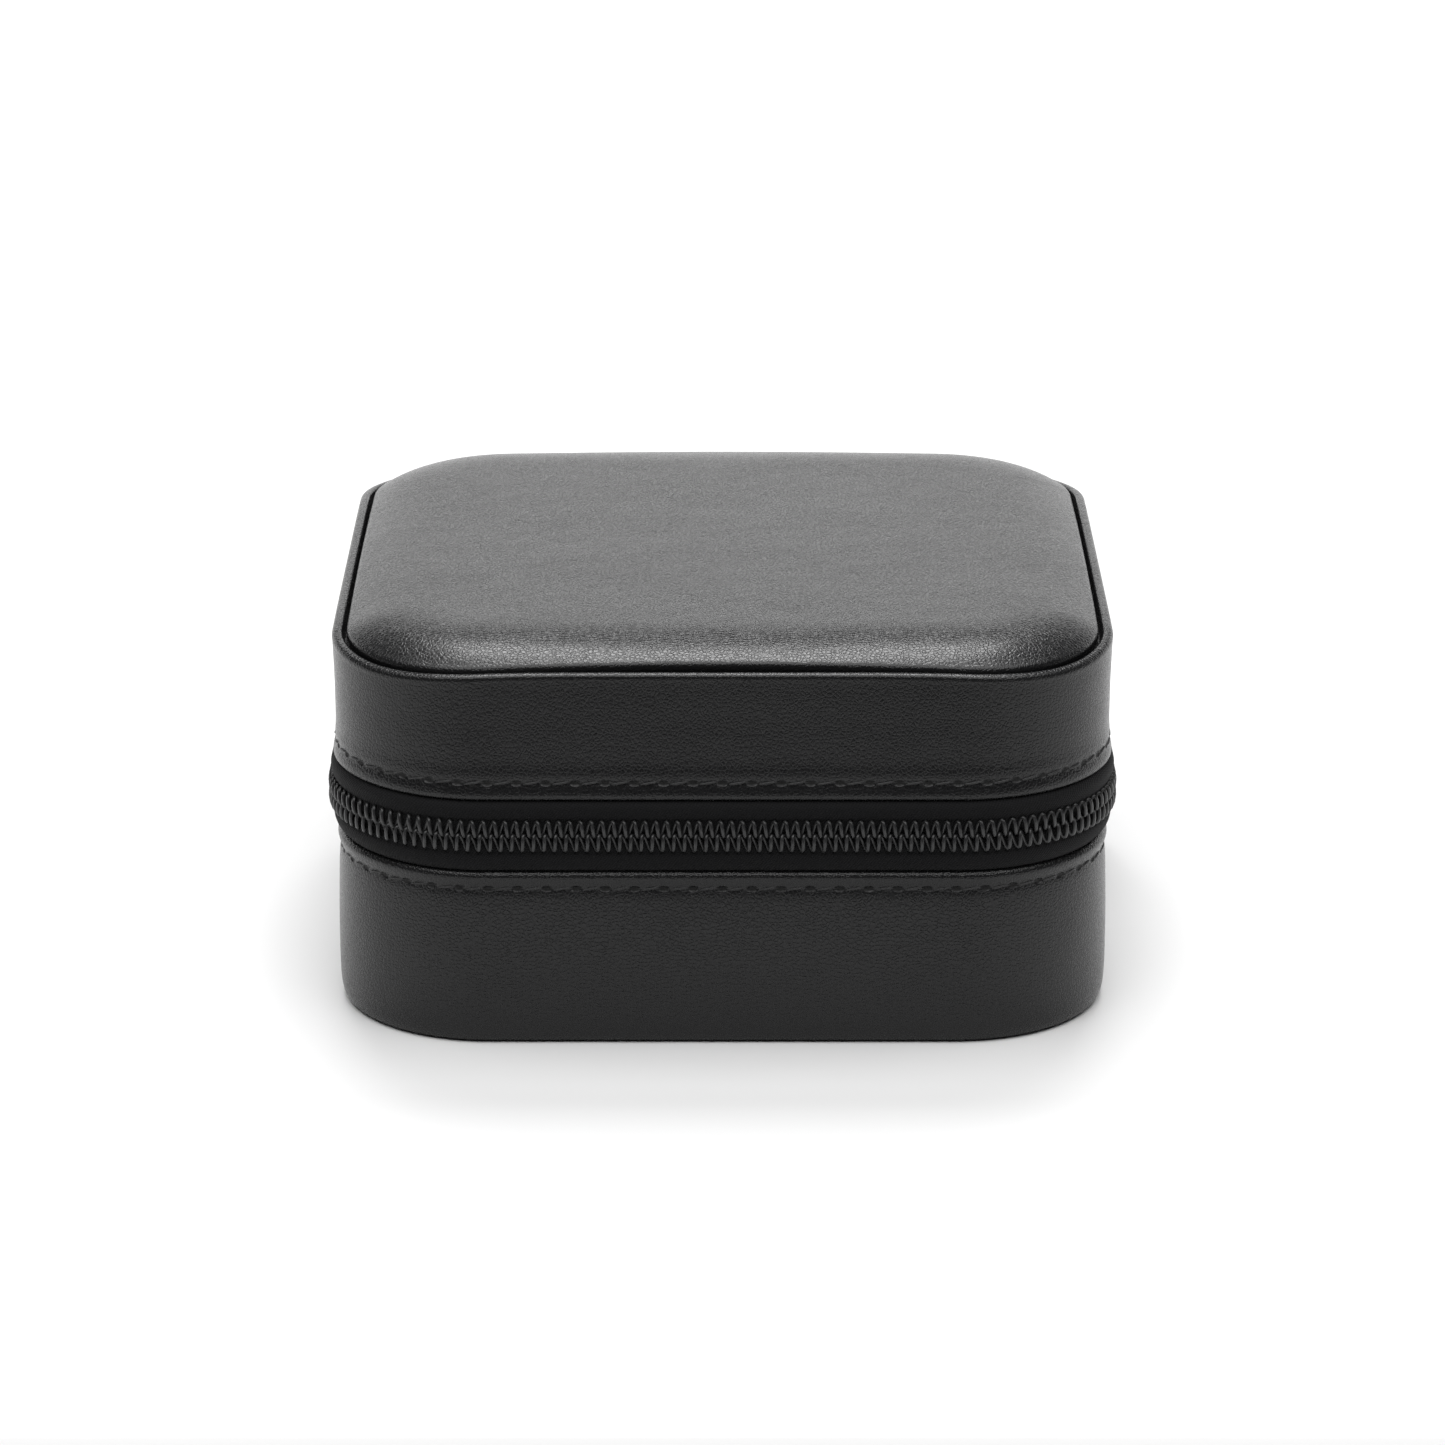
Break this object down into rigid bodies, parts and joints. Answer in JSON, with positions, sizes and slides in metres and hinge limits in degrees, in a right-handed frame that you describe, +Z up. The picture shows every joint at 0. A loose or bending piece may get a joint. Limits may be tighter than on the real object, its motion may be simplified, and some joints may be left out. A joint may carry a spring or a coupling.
{
  "type": "jewellery case",
  "caption": "Square zip-around leather jewellery case with a padded hinged lid, mirror, ring rolls and dividers.",
  "frame": {"origin": "middle of the case's underside, on the surface it stands on; the zip slider stands out on +X", "axes": "+Z up through the lid, +X to the right, -Y towards the front, +Y towards the hinge"},
  "size_m": [0.1045, 0.1018, 0.0525],
  "materials": {
    "black_leather": "satin",
    "greyboard": "matte",
    "foam": "matte",
    "black_thread": "satin",
    "velvet_lining": "matte",
    "zip_tape": "matte",
    "zip_coil": "satin",
    "black_metal": "satin",
    "mirror": "polished"
  },
  "bodies": {
    "base": {"base_bottom_leather": "black_leather", "base_floor_board": "greyboard", "base_wall_board": "greyboard", "base_underlay": "foam", "base_wall_leather": "black_leather", "base_thread": "black_thread", "base_floor_lining": "velvet_lining", "base_wall_lining": "velvet_lining", "lower_zip_tape": "zip_tape", "lower_zip_coil": "zip_coil", "hinge_spine": "black_leather", "hinge_lining": "velvet_lining", "long_divider": "velvet_lining", "cross_divider": "velvet_lining", "ring_roll_1": "velvet_lining", "ring_roll_2": "velvet_lining", "ring_roll_3": "velvet_lining", "ring_roll_4": "velvet_lining"},
    "lid": {"lid_wall_leather": "black_leather", "lid_thread": "black_thread", "lid_underlay": "foam", "lid_wall_board": "greyboard", "lid_top_board": "greyboard", "lid_wall_lining": "velvet_lining", "lid_ceiling_lining": "velvet_lining", "lid_rim": "black_leather", "lid_pad_foam": "foam", "lid_pad_leather": "black_leather", "upper_zip_tape": "zip_tape", "upper_zip_coil": "zip_coil", "mirror_glass": "mirror", "mirror_frame": "velvet_lining"},
    "slider": {"slider_body": "black_metal"},
    "pull": {"pull_link": "black_metal", "pull_tab": "black_leather"}
  },
  "joints": [
    {"name": "lid_hinge", "type": "hinge", "parent": "base", "child": "lid", "pos_m": [0, 0.04865, 0.0284], "axis": [-1, 0, 0], "range_deg": [0, 135], "deforming": ["hinge_spine", "hinge_lining", "upper_zip_tape", "upper_zip_coil"]},
    {"name": "zip_slide", "type": "slide", "parent": "base", "child": "slider", "axis": [0, -1, 0], "range_m": [0, 0.05]},
    {"name": "pull_swing", "type": "hinge", "parent": "slider", "child": "pull", "pos_m": [0.0523, 0.028, 0.0284], "axis": [1, 0, 0], "range_deg": [-60, 85]}
  ]
}
